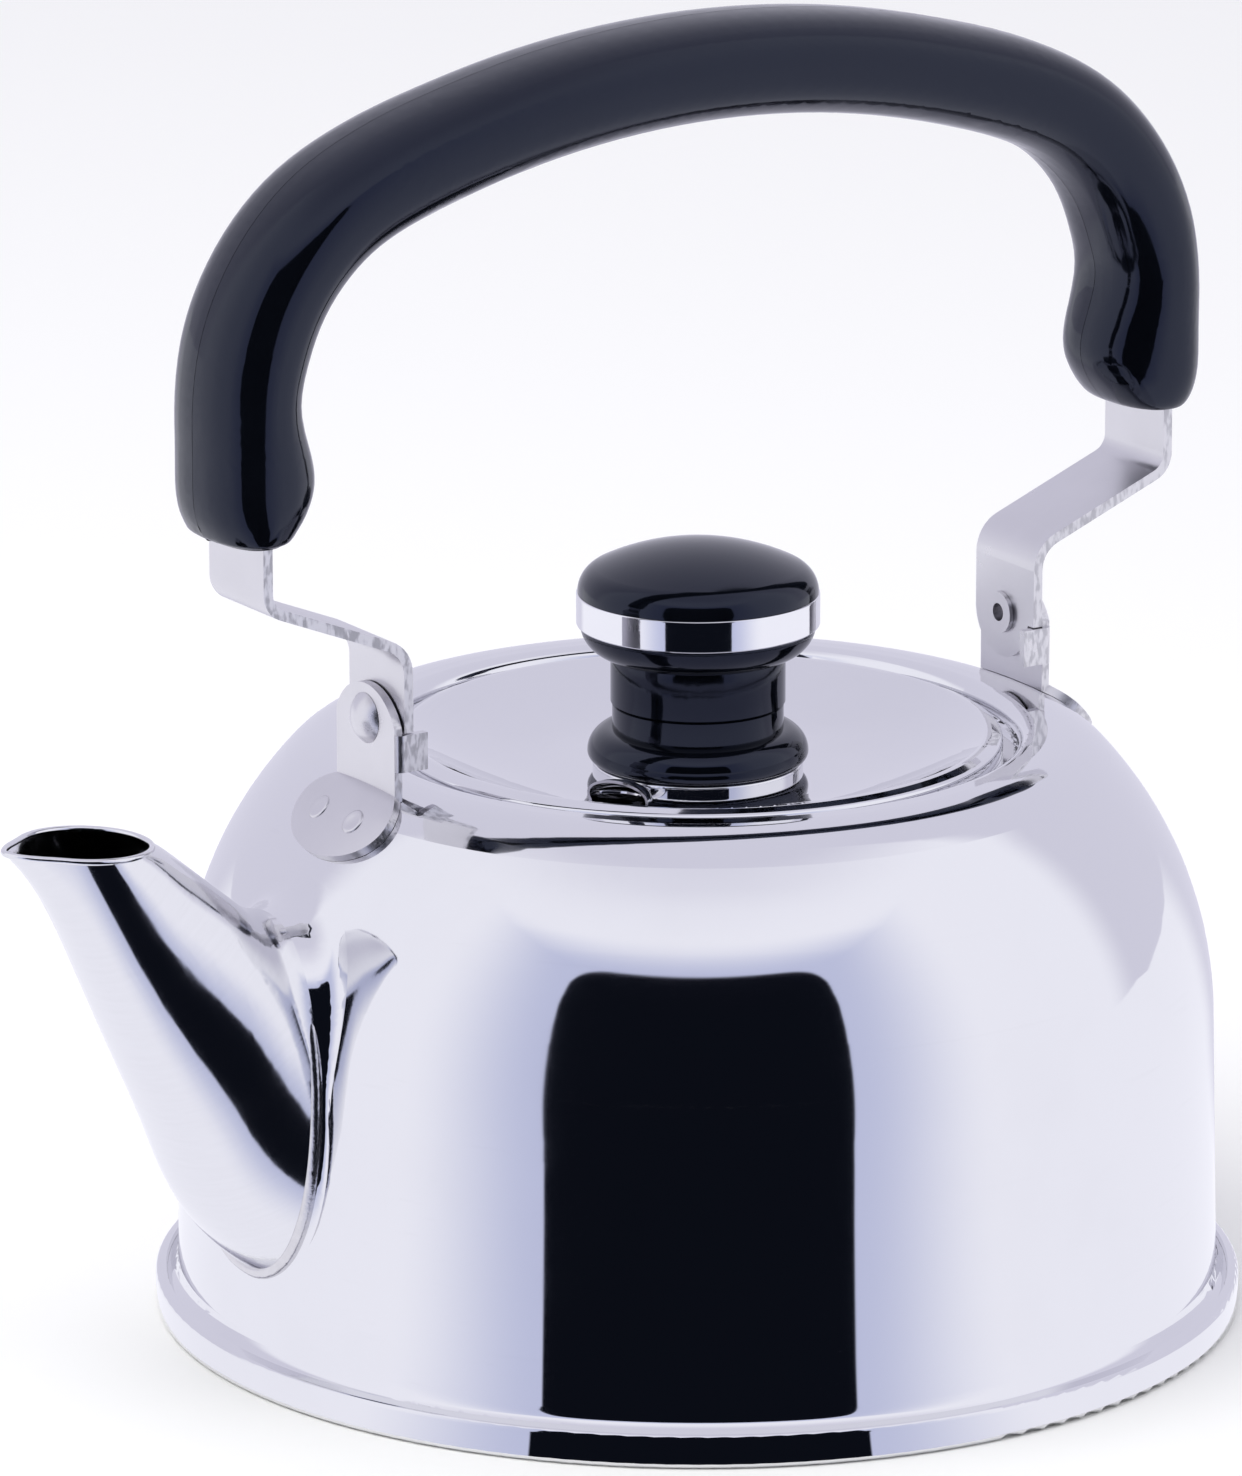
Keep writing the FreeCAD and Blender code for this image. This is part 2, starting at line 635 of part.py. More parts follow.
def ear():
    """The front ear: a round-topped plate, its oval foot on the shoulder and the stop tab."""
    outside = -ear_outside.value
    gauge = D.ear_gauge.value
    half = D.ear_width.value / 2
    pivot = D.pivot_height.value
    top = pivot + D.ear_rise.value
    round_centre = top - D.ear_round.value
    foot_level = join_height.value
    across = V(1, 0, 0)
    plate = Part.makeBox(gauge, 2 * half, round_centre - foot_level, V(outside, -half, foot_level))
    crest = Part.makeBox(gauge, 2 * half, top - round_centre, V(outside, -half, round_centre))
    disc = Part.makeCylinder(D.ear_round.value, gauge, V(outside, 0, round_centre), across)
    plate = plate.fuse(crest.common(disc))
    seat = D.fit_gap.value
    tilt = math.radians(D.ear_foot_tilt.value)
    normal = V(-math.sin(tilt), 0, math.cos(tilt))
    reach = D.ear_foot_reach.value
    level = join_height.value + (reach - join_radius.value) * -math.tan(tilt)
    outline = Part.Ellipse(V(0, 0, 0), D.ear_foot_width.value / 2, D.ear_foot_length.value / 2)
    prism = Part.Face(Part.Wire([outline.toShape()])).extrude(V(0, 0, 20))
    prism.rotate(V(0, 0, 0), UP, 90)
    prism.translate(V(0, 0, -10))
    prism.rotate(V(0, 0, 0), V(0, 1, 0), -D.ear_foot_tilt.value)
    prism.translate(V(-reach, 0, level))
    inside_cut = Part.makeBox(60, 60, 60, V(outside + gauge, -30, 70))
    foot = shoulder_solid(seat + gauge).common(prism).cut(shoulder_solid(seat)).cut(inside_cut)
    tab = Part.makeBox(gauge + D.tab_depth.value, D.tab_gauge.value, D.tab_height.value,
                       V(outside, -D.tab_inside.value - D.tab_gauge.value,
                         pivot - D.tab_drop.value - D.tab_height.value))
    bend = [edge for edge in tab.Edges if edge.BoundBox.XMax < outside + EYE
            and edge.BoundBox.YMax < -D.tab_inside.value - D.tab_gauge.value + EYE]
    tab = tab.makeFillet(D.tab_bend.value, bend)
    hole = Part.makeCylinder(D.rivet_radius.value + D.fit_gap.value, 4 * gauge,
                             V(outside - gauge, 0, pivot), across)
    solid = plate.cut(shoulder_solid(seat)).fuse([foot, tab]).removeSplitter()
    return solid.cut(hole)


front_ear = ear()
node(feature("ear_front", front_ear), "ear_front")
node(feature("ear_rear", front_ear.mirror(V(0, 0, 0), V(1, 0, 0))), "ear_rear")

tail_start = D.strap_foot_reach - D.strap_gauge - D.fit_gap
head_start = ear_outside + D.fit_gap
dome_round = (D.rivet_head * D.rivet_head + D.rivet_dome * D.rivet_dome) / (D.rivet_dome * 2)
for place, side in EARS:
    rivet = turned("rivet_" + place, (
        ("to", D.rivet_hollow, tail_start - D.rivet_roll),
        ("to", D.rivet_tail, tail_start - D.rivet_roll),
        ("to", D.rivet_tail, tail_start),
        ("to", D.rivet_radius, tail_start),
        ("to", D.rivet_radius, head_start),
        ("to", D.rivet_head, head_start),
        ("arc", 0, head_start + D.rivet_dome, dome_round, 1),
        ("to", 0, head_start - D.ear_gauge),
        ("to", D.rivet_hollow, head_start - D.ear_gauge),
    ))
    rivet.Placement = FreeCAD.Placement(V(0, 0, 0), FreeCAD.Rotation(V(0, 1, 0), 90 * side))
    rivet.setExpression("Placement.Base.z", D.pivot_height.text)

arch_centre = D.arch_top - D.arch_crown
shoulder_reach = D.arch_half_width - D.arch_shoulder
arch_gap = D.arch_crown - D.arch_shoulder
leg_top = arch_centre + root(arch_gap * arch_gap - shoulder_reach * shoulder_reach)
arch_scale = D.arch_crown / arch_gap
arch_join_reach = shoulder_reach * arch_scale
arch_join_height = arch_centre + (leg_top - arch_centre) * arch_scale
strap_low = D.pivot_height - D.strap_back

strap_line = line_sketch("bail_strap_line", (
    ("to", -D.strap_foot_reach, strap_low),
    ("round", -D.strap_foot_reach, D.strap_elbow_low, D.strap_bend),
    ("round", -D.arch_half_width, D.strap_elbow_high, D.strap_bend),
    ("to", -D.arch_half_width, leg_top),
    ("arc", -arch_join_reach, arch_join_height, D.arch_shoulder, -1),
    ("arc", arch_join_reach, arch_join_height, D.arch_crown, -1),
    ("arc", D.arch_half_width, leg_top, D.arch_shoulder, -1),
    ("round", D.arch_half_width, D.strap_elbow_high, D.strap_bend),
    ("round", D.strap_foot_reach, D.strap_elbow_low, D.strap_bend),
    ("to", D.strap_foot_reach, strap_low),
))
strap_strip = thickened("bail_strap_strip", strap_line, D.strap_gauge, -1)
strap_blank = doc.addObject("Part::Extrusion", "strap_blank")
strap_blank.Base = strap_strip
strap_blank.DirMode = "Custom"
strap_blank.Dir = V(0, 1, 0)
strap_blank.Solid = True
bind(strap_blank, "LengthFwd", D.strap_back)
bind(strap_blank, "LengthRev", D.strap_front)


def cross_pin(name, radius):
    """A round bar along the pivots' axis, through both ends of the bail."""
    bar = doc.addObject("Part::Cylinder", name)
    bind(bar, "Radius", radius)
    bind(bar, "Height", D.seam_radius * 2)
    bar.Placement = FreeCAD.Placement(V(0, 0, 0), FreeCAD.Rotation(V(0, 1, 0), 90))
    bar.setExpression("Placement.Base.x", (-D.seam_radius).text)
    bar.setExpression("Placement.Base.z", D.pivot_height.text)
    return bar


end_block = doc.addObject("Part::Box", "strap_end_block")
bind(end_block, "Length", D.seam_radius * 2)
bind(end_block, "Width", D.strap_front * 2 + 2)
bind(end_block, "Height", D.strap_back + 2)
end_block.setExpression("Placement.Base.x", (-D.seam_radius).text)
end_block.setExpression("Placement.Base.y", (-D.strap_front - 1).text)
end_block.setExpression("Placement.Base.z",
                        (D.pivot_height - D.tab_drop + D.stop_gap - D.strap_back - 2).text)
end_cutter = boolean("Cut", "strap_end_cutter", end_block, cross_pin("strap_end_round", D.strap_back))
strap_shaped = boolean("Cut", "strap_shaped", strap_blank, end_cutter)
strap_holes = cross_pin("strap_holes", D.rivet_radius + D.fit_gap)
node(boolean("Cut", "strap_drilled", strap_shaped, strap_holes), "bail_strap")
doc.recompute()


# ---------------------------------------------------------------- grip
GRIP_POINTS = 16
GRIP_SQUARE = 2.35
LEG_STATIONS = (0.0, 0.6, 1.8, 3.6, 6.0, 9.0, 12.5, 16.5)
SHOULDER_TURNS = 5
CROWN_TURNS = 4
END_WIDTH = 0.78
END_DEPTH = 0.55
BULGE_LEVEL = 10.5
BULGE_SPREAD = 8.5


def grip_stations():
    """Places along the middle of the strap from the left end of the grip to the crown."""
    middle = D.strap_gauge.value / 2
    leg = D.arch_half_width.value - middle
    stations = [(V(-leg, 0, D.grip_end.value + up), V(-1, 0, 0), up) for up in LEG_STATIONS]
    shoulder = V(-shoulder_reach.value, 0, leg_top.value)
    crown = V(0, 0, arch_centre.value)
    sweep = math.atan2((leg_top - arch_centre).value, shoulder_reach.value)
    start_up = (leg_top - D.grip_end).value
    for step in range(SHOULDER_TURNS):
        turn = sweep * step / SHOULDER_TURNS
        out = V(-math.cos(turn), 0, math.sin(turn))
        stations.append((shoulder + out * (D.arch_shoulder.value - middle), out, start_up))
    for step in range(CROWN_TURNS + 1):
        turn = sweep + (math.pi / 2 - sweep) * step / CROWN_TURNS
        out = V(-math.cos(turn), 0, math.sin(turn))
        stations.append((crown + out * (D.arch_crown.value - middle), out, start_up))
    return stations


def grip_section(place, out, up):
    rounding = min(up / D.grip_end_round.value, 1.0)
    full = math.sqrt(1 - (1 - rounding) ** 2)
    half_wide = D.grip_width.value / 2 * (END_WIDTH + (1 - END_WIDTH) * full)
    depth = END_DEPTH + (1 - END_DEPTH) * full
    bulge = D.grip_bulge.value * math.exp(-((up - BULGE_LEVEL) / BULGE_SPREAD) ** 2)
    outer = D.grip_depth.value / 2 * depth
    inner = (D.grip_depth.value / 2 + bulge) * depth
    points = []
    for turn in spaced(GRIP_POINTS):
        power = -1 / GRIP_SQUARE
        square = (abs(math.cos(turn)) ** GRIP_SQUARE + abs(math.sin(turn)) ** GRIP_SQUARE) ** power
        reach = outer if math.cos(turn) > 0 else inner
        points.append(place + out * (reach * math.cos(turn) * square)
                      + V(0, half_wide * math.sin(turn) * square, 0))
    return ring_wire(points)


def grip_solid():
    left = grip_stations()
    mirrored = [(V(-place.x, 0, place.z), V(-out.x, 0, out.z), up) for place, out, up in left]
    return Part.makeLoft([grip_section(*station) for station in left + mirrored[-2::-1]], True)


def strap_channel():
    """The strap with a little air round it."""
    gap = D.channel_gap.value
    outer = ordered(strap_line).makeOffset2D(gap, 2, False, True)
    face = outer.makeOffset2D(-(D.strap_gauge.value + 2 * gap), 2, True, True)
    face.translate(V(0, -D.strap_front.value - gap, 0))
    return face.extrude(V(0, (D.strap_front + D.strap_back).value + 2 * gap, 0))


grip = grip_solid().cut(strap_channel())
half_joint = D.grip_joint.value / 2
box = grip.BoundBox
near_side = Part.makeBox(box.XLength + 2, box.YMax - half_joint + 1, box.ZLength + 2,
                         V(box.XMin - 1, box.YMin - 1, box.ZMin - 1))
far_side = near_side.mirror(V(0, 0, 0), V(0, 1, 0))
node(feature("grip_half_near", grip.common(near_side)), "grip_half_near")
node(feature("grip_half_far", grip.common(far_side)), "grip_half_far")


# ---------------------------------------------------------------- lid, skirt and steam hood
under_lid = D.lid_dish_height - D.gauge
rim_height = D.lid_rim_peak - D.lid_rim_fall
lid_seat = ledge_height + D.fit_gap
ridge_radius = D.lid_radius - D.lid_rim_inset
dish_slope = (D.lid_rim_peak - D.lid_dish_height) / (ridge_radius - D.lid_dish_radius)

lid_sketch = line_sketch("lid_line", (
    ("to", D.screw_hole, D.lid_dish_height),
    ("round", D.lid_dish_radius, D.lid_dish_height, D.lid_dish_round),
    ("round", ridge_radius, D.lid_rim_peak, D.lid_rim_round),
    ("round", D.lid_radius, rim_height, 1.0),
    ("to", D.lid_radius, lid_seat),
))
lid_disc = spun("lid_disc", thickened("lid_strip", lid_sketch, D.gauge, -1))


def half_egg(shrink, sink):
    """Half an egg behind its mouth, let into the dish, at its place beside the knob."""
    scale = FreeCAD.Matrix()
    scale.scale(D.hood_length.value - shrink, D.hood_width.value / 2 - shrink,
                D.hood_height.value - shrink)
    egg = Part.makeSphere(1.0).transformGeometry(scale)
    reach = D.hood_width.value
    egg = egg.common(Part.makeBox(reach, 2 * reach, reach, V(-reach, -reach, -sink)))
    egg.translate(V(D.hood_reach.value, 0, D.lid_dish_height.value))
    egg.rotate(V(0, 0, 0), UP, D.hood_angle.value)
    return egg


# The hood is pressed up out of the dish: a half egg on the disc, hollowed right through it.
hood = feature("hood", half_egg(0, D.gauge.value / 2))
hood_hollow = feature("hood_hollow", half_egg(D.skirt_gauge.value, D.gauge.value * 2))
lid_with_hood = boolean("Fuse", "lid_with_hood", lid_disc, hood)
node(boolean("Cut", "lid_opened", lid_with_hood, hood_hollow), "lid_plate")

skirt_radius = D.throat_radius - D.skirt_gap


def under_slope(radius):
    """Height of the lid's underside where it slopes up to the rim."""
    sheet_drop = D.gauge * root(dish_slope * dish_slope + 1)
    return D.lid_dish_height + (radius - D.lid_dish_radius) * dish_slope - sheet_drop


pressed("lid_skirt", (
    ("to", D.skirt_flange, under_slope(D.skirt_flange)),
    ("round", skirt_radius, under_slope(skirt_radius), D.skirt_round),
    ("to", skirt_radius, D.lid_dish_height - D.skirt_depth),
), D.skirt_gauge, -1)

# ---------------------------------------------------------------- whistle
whistle_axis = (D.whistle_reach * cosine(D.hood_angle), D.whistle_reach * sine(D.hood_angle))
whistle_floor = under_lid - D.whistle_depth
pressed("whistle_cup", (
    ("to", D.whistle_flange, under_lid - D.skirt_gauge),
    ("round", D.whistle_radius, under_lid - D.skirt_gauge, 0.6),
    ("round", D.whistle_radius, whistle_floor, 1.2),
    ("to", D.whistle_hole, whistle_floor),
), D.skirt_gauge, -1, whistle_axis)
plate_radius = D.whistle_radius - D.skirt_gauge - D.fit_gap
pressed("whistle_plate", (
    ("to", plate_radius, whistle_floor + D.whistle_step - 1.5),
    ("round", plate_radius, whistle_floor + D.whistle_step, 0.8),
    ("to", D.whistle_hole, whistle_floor + D.whistle_step),
), D.skirt_gauge, 1, whistle_axis)

# ---------------------------------------------------------------- knob
seat_top = D.lid_dish_height + D.seat_height
joint_height = seat_top + D.foot_height
band_bottom = joint_height + D.upper_stem_height + D.head_round
band_top = band_bottom + D.band_height
spigot_top = band_bottom + D.spigot_height
insert_bottom = joint_height + D.insert_depth
insert_top = insert_bottom + D.insert_length
insert_hole = D.insert_radius + D.fit_gap
widest = seat_top + D.foot_edge
inside_band = D.band_radius - D.band_gauge - D.fit_gap

pressed("knob_seat_ring", (
    ("to", D.screw_hole, seat_top),
    ("round", D.seat_radius, seat_top, D.gauge),
    ("to", D.seat_radius, D.lid_dish_height),
), D.gauge, -1)

turned("knob_foot", (
    ("to", D.screw_hole, seat_top),
    ("to", D.foot_radius - D.foot_edge, seat_top),
    ("arc", D.foot_radius, widest, D.foot_edge, 1),
    ("arc", D.stem_radius, widest + D.foot_round, D.foot_round, 1),
    ("to", D.stem_radius, joint_height - D.fit_gap * 6),
    ("to", D.stem_radius - 0.4, joint_height),
    ("to", D.screw_hole, joint_height),
))

turned("knob_stem", (
    ("to", D.screw_hole, joint_height),
    ("to", D.upper_stem_radius - 0.4, joint_height),
    ("to", D.upper_stem_radius, joint_height + D.fit_gap * 6),
    ("to", D.upper_stem_radius, joint_height + D.upper_stem_height),
    ("arc", inside_band, band_bottom, D.head_round * 1.02, 1),
    ("to", D.spigot_radius, band_bottom),
    ("to", D.spigot_radius, spigot_top),
    ("to", 0, spigot_top),
    ("to", 0, insert_top + D.fit_gap),
    ("to", insert_hole, insert_top + D.fit_gap),
    ("to", insert_hole, insert_bottom),
    ("to", D.screw_hole, insert_bottom),
))

turned("knob_band", (
    ("to", D.band_radius - D.band_gauge, band_bottom),
    ("to", D.band_radius - 0.25, band_bottom),
    ("arc", D.band_radius, band_bottom + 0.25, 0.25, 1),
    ("to", D.band_radius, band_top - 0.25),
    ("arc", D.band_radius - 0.25, band_top, 0.25, 1),
    ("to", D.band_radius - D.band_gauge, band_top),
))

# The cap's crown is an arc that runs smoothly into the round of its edge.
edge_centre = D.cap_radius - D.cap_edge
half_turn = (D.cap_rise - D.cap_edge) / edge_centre
edge_share = half_turn * 2 / (half_turn * half_turn + 1)
rise_share = (1 - half_turn * half_turn) / (half_turn * half_turn + 1)
crown_round = D.cap_edge + edge_centre / edge_share
cap_hole = D.spigot_radius + D.fit_gap
turned("knob_cap", (
    ("to", cap_hole, band_bottom + D.fit_gap),
    ("to", inside_band, band_bottom + D.fit_gap),
    ("to", inside_band, band_top + D.fit_gap),
    ("to", D.cap_radius, band_top + D.fit_gap),
    ("arc", edge_centre + D.cap_edge * edge_share,
     band_top + D.fit_gap + D.cap_edge * rise_share, D.cap_edge, 1),
    ("arc", 0, band_top + D.fit_gap + D.cap_rise, crown_round, 1),
    ("to", 0, spigot_top + D.fit_gap),
    ("to", cap_hole, spigot_top + D.fit_gap),
))

turned("knob_insert", (
    ("to", D.screw_radius + D.fit_gap, insert_bottom + D.fit_gap),
    ("to", D.insert_radius - 0.4, insert_bottom + D.fit_gap),
    ("to", D.insert_radius, insert_bottom + D.fit_gap + 0.4),
    ("to", D.insert_radius, insert_top - 0.4),
    ("to", D.insert_radius - 0.4, insert_top),
    ("to", D.screw_radius + D.fit_gap, insert_top),
))

washer_top = under_lid - D.fit_gap
washer_bottom = washer_top - D.washer_gauge
turned("knob_washer", (
    ("to", D.screw_hole, washer_bottom),
    ("to", D.washer_radius, washer_bottom),
    ("to", D.washer_radius, washer_top),
    ("to", D.screw_hole, washer_top),
))

head_bottom = washer_bottom - D.screw_head_height
turned("knob_screw", (
    ("to", 0, head_bottom + 0.9),
    ("to", D.screw_head * 0.35, head_bottom + 0.9),
    ("to", D.screw_head * 0.35, head_bottom),
    ("to", D.screw_head * 0.75, head_bottom),
    ("to", D.screw_head, head_bottom + 0.9),
    ("to", D.screw_head, washer_bottom),
    ("to", D.screw_radius, washer_bottom),
    ("to", D.screw_radius, insert_bottom + D.screw_grip),
    ("to", 0, insert_bottom + D.screw_grip),
))


# ---------------------------------------------------------------- check and write
doc.recompute()
for thing in doc.Objects:
    if "Invalid" in thing.State or "Error" in thing.State:
        raise RuntimeError(thing.Name + " failed to build")
for piece in NODES:
    if piece.Shape.isNull() or not piece.Shape.isValid() or not piece.Shape.Solids:
        raise RuntimeError(piece.Label + " has no valid solid")

os.makedirs("parts", exist_ok=True)
for piece in NODES:
    solids = piece.Shape.Solids
    shape = solids[0] if len(solids) == 1 else Part.makeCompound(solids)
    shape.exportStep(os.path.join("parts", piece.Label + ".step"))
    box = piece.Shape.BoundBox
    print("%-18s %9.1f mm3  x %7.1f %7.1f  y %7.1f %7.1f  z %7.1f %7.1f" % (
        piece.Label, piece.Shape.Volume, box.XMin, box.XMax, box.YMin, box.YMax, box.ZMin, box.ZMax))
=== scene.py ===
"""Looks of a stovetop whistling kettle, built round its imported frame."""

import math

import bmesh
import bpy
from bpy.props import FloatProperty, FloatVectorProperty, PointerProperty
from mathutils import Matrix, Vector


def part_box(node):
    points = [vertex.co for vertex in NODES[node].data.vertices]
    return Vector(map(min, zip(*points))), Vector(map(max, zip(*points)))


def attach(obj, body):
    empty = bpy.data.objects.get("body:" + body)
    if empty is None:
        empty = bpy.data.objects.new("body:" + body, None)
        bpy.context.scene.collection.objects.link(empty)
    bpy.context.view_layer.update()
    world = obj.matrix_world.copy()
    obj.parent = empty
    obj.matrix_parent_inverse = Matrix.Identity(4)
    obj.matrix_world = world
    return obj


bl_info = {
    "name": "Whistling Kettle",
    "version": (1, 0, 0),
    "blender": (4, 5, 0),
    "location": "3D View > Sidebar > Kettle",
    "description": "Finishes and studio for a stovetop whistling kettle",
    "category": "Object",
}

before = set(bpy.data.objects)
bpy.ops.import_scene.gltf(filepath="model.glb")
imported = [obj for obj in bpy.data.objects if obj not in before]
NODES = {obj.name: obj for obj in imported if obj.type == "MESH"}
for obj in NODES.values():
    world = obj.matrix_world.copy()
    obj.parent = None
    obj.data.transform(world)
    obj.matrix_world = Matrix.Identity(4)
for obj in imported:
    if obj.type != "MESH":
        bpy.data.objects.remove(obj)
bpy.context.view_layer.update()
UP = Vector((0, 0, 1))


# ---------------------------------------------------------------- shader expressions
class Wire:
    """An output socket that takes part in arithmetic: each operation adds a Math node."""

    def __init__(self, socket):
        self.socket = socket
        self.tree = socket.id_data

    def math(self, operation, first, second=None):
        node = self.tree.nodes.new("ShaderNodeMath")
        node.operation = operation
        for slot, value in zip(node.inputs, (first, second)):
            if isinstance(value, Wire):
                self.tree.links.new(value.socket, slot)
            elif value is not None:
                slot.default_value = value
        return Wire(node.outputs[0])

    def __add__(self, other):
        return self.math("ADD", self, other)

    def __radd__(self, other):
        return self.math("ADD", other, self)

    def __sub__(self, other):
        return self.math("SUBTRACT", self, other)

    def __rsub__(self, other):
        return self.math("SUBTRACT", other, self)

    def __mul__(self, other):
        return self.math("MULTIPLY", self, other)

    def __rmul__(self, other):
        return self.math("MULTIPLY", other, self)

    def __truediv__(self, other):
        return self.math("DIVIDE", self, other)

    def __pow__(self, other):
        return self.math("POWER", self, other)

    def __abs__(self):
        return self.math("ABSOLUTE", self)


class Finish:
    """The node tree of a material or world, emptied and then filled by calls to add."""

    def __init__(self, owner):
        owner.use_nodes = True
        self.owner = owner
        self.tree = owner.node_tree
        self.tree.nodes.clear()

    def add(self, kind, settings=None, output=0, **values):
        """A node of that type: its settings first, then values or links by socket name."""
        node = self.tree.nodes.new("ShaderNode" + kind)
        for name, value in (settings or {}).items():
            setattr(node, name, value)
        for name, value in values.items():
            slot = node.inputs[name.replace("_", " ")]
            if isinstance(value, Wire):
                self.tree.links.new(value.socket, slot)
            elif slot.type == "RGBA":
                slot.default_value = (*value, 1)
            else:
                slot.default_value = value
        return Wire(node.outputs[output]) if node.outputs else None

    def blend(self, share, one, two):
        """Colour one where share is 0, colour two where it is 1."""
        node = self.tree.nodes.new("ShaderNodeMix")
        node.data_type = "RGBA"
        for slot, value in zip((node.inputs[0], node.inputs[6], node.inputs[7]), (share, one, two)):
            if isinstance(value, Wire):
                self.tree.links.new(value.socket, slot)
            else:
                slot.default_value = value if slot.type == "VALUE" else (*value, 1)
        return Wire(node.outputs[2])

    def math(self, operation, first, second=None):
        """A Math node on values that may both be numbers."""
        values = [value for value in (first, second) if isinstance(value, Wire)]
        return values[0].math(operation, first, second)

    def place(self, output="Object"):
        return self.add("TexCoord", output=output)

    def split(self, vector):
        """The x, y and z of a vector as three values."""
        node = self.add("SeparateXYZ", Vector=vector).socket.node
        return [Wire(socket) for socket in node.outputs]

    def point(self, x, y, z):
        return self.add("CombineXYZ", X=x, Y=y, Z=z)

    def grain(self, vector, scale, detail=2.0):
        return self.add("TexNoise", Vector=vector, Scale=scale, Detail=detail)

    def ease(self, value, low, high):
        """0 below low, 1 above high, smooth between them."""
        return self.add("MapRange", {"interpolation_type": "SMOOTHSTEP"}, Value=value,
                        From_Min=low, From_Max=high)

    def bump(self, height, distance, below=None):
        values = {"Height": height, "Distance": distance}
        if below is not None:
            values["Normal"] = below
        return self.add("Bump", **values)

    def metal(self, colour, roughness, bump=None):
        """The surface of a bare metal."""
        values = {"Base_Color": colour, "Metallic": 1.0, "Roughness": roughness}
        if bump is not None:
            values["Normal"] = bump
        self.add("OutputMaterial", Surface=self.add("BsdfPrincipled", **values))


def new_material(name):
    return Finish(bpy.data.materials.new(name))


def wear(names, finish):
    """These CAD nodes show that finish."""
    for name in names:
        slots = NODES[name].material_slots
        if not slots:
            NODES[name].data.materials.append(finish.owner)
        for slot in slots:
            slot.material = finish.owner


# ---------------------------------------------------------------- sizes and colours
class KettleColours(bpy.types.PropertyGroup):
    polished: FloatVectorProperty(
        name="Polished steel", description="Colour of the mirror-polished sheet",
        subtype="COLOR", size=3, min=0, max=1, default=(0.80, 0.80, 0.825))
    satin: FloatVectorProperty(
        name="Satin steel", description="Colour of the bail's strap and ears",
        subtype="COLOR", size=3, min=0, max=1, default=(0.74, 0.73, 0.76))
    weld: FloatVectorProperty(
        name="Weld", description="Colour of the ground weld round the spout",
        subtype="COLOR", size=3, min=0, max=1, default=(0.74, 0.73, 0.75))
    chrome: FloatVectorProperty(
        name="Chrome", description="Colour of the band round the knob",
        subtype="COLOR", size=3, min=0, max=1, default=(0.86, 0.86, 0.89))
    plastic: FloatVectorProperty(
        name="Plastic", description="Colour of the grip and the knob",
        subtype="COLOR", size=3, min=0, max=1, default=(0.002, 0.0025, 0.004))
    gloss: FloatVectorProperty(
        name="Plastic gloss", description="Tint of the plastic's reflections",
        subtype="COLOR", size=3, min=0, max=1, default=(0.60, 0.68, 1.0))
    brass: FloatVectorProperty(
        name="Brass", description="Colour of the threaded insert",
        subtype="COLOR", size=3, min=0, max=1, default=(0.72, 0.53, 0.25))


class KettlePolish(bpy.types.PropertyGroup):
    mirror: FloatProperty(
        name="Mirror", description="Roughness of the polished sheet", default=0.03, min=0, max=1)
    brushed: FloatProperty(
        name="Spout", description="Roughness of the spout", default=0.06, min=0, max=1)
    satin: FloatProperty(
        name="Satin", description="Roughness of the strap and ears", default=0.24, min=0, max=1)
    plastic: FloatProperty(
        name="Plastic", description="Roughness of the plastic", default=0.07, min=0, max=1)
    spot: FloatProperty(
        name="Spot weld", description="Radius of the mark a spot weld leaves",
        default=0.0023, min=0.001, max=0.004, unit="LENGTH")
    spot_spread: FloatProperty(
        name="Spot spread", description="Distance between the two spot welds of an ear",
        default=0.011, min=0.004, max=0.02, unit="LENGTH")


class KettleStudio(bpy.types.PropertyGroup):
    azimuth: FloatProperty(
        name="Azimuth", description="Side the camera stands on, from the front of the frame",
        default=math.radians(-32.5), subtype="ANGLE")
    elevation: FloatProperty(
        name="Elevation", description="How far the camera looks down",
        default=math.radians(15.51), subtype="ANGLE")
    distance: FloatProperty(
        name="Distance", description="Distance of the camera from the kettle",
        default=1.9, min=0.5, unit="LENGTH")
    aim: FloatVectorProperty(
        name="Aim", description="Point the camera looks at",
        size=3, default=(-0.01124, 0.00716, 0.10096), subtype="TRANSLATION")
    lens: FloatProperty(name="Lens", description="Focal length in millimetres", default=267.3)
    window: FloatProperty(
        name="Dark window", description="Half width of the dark room behind the camera",
        default=math.radians(34), subtype="ANGLE")
    window_top: FloatProperty(
        name="Window top", description="Height of the dark room above the table",
        default=math.radians(37), subtype="ANGLE")
    side_end: FloatProperty(
        name="Side light end", description="Where the side lights end, away from the camera",
        default=math.radians(116), subtype="ANGLE")
    side_top: FloatProperty(
        name="Side light top", description="Upper edge of the side lights",
        default=math.radians(78), subtype="ANGLE")
    white: FloatVectorProperty(
        name="Side light", description="Light of the side softboxes in a reflection",
        size=3, subtype="COLOR", min=0, soft_max=2, default=(0.99, 0.99, 1.07))
    dusk: FloatVectorProperty(
        name="Edge light", description="Light beside the dark window",
        size=3, subtype="COLOR", min=0, soft_max=2, default=(0.60, 0.63, 0.84))
    haze: FloatVectorProperty(
        name="Room light", description="Light of the walls and ceiling",
        size=3, subtype="COLOR", min=0, soft_max=2, default=(0.74, 0.73, 0.85))
    lamp: FloatProperty(
        name="Overhead lamp", description="Power of the overhead softbox", default=12.0, min=0)


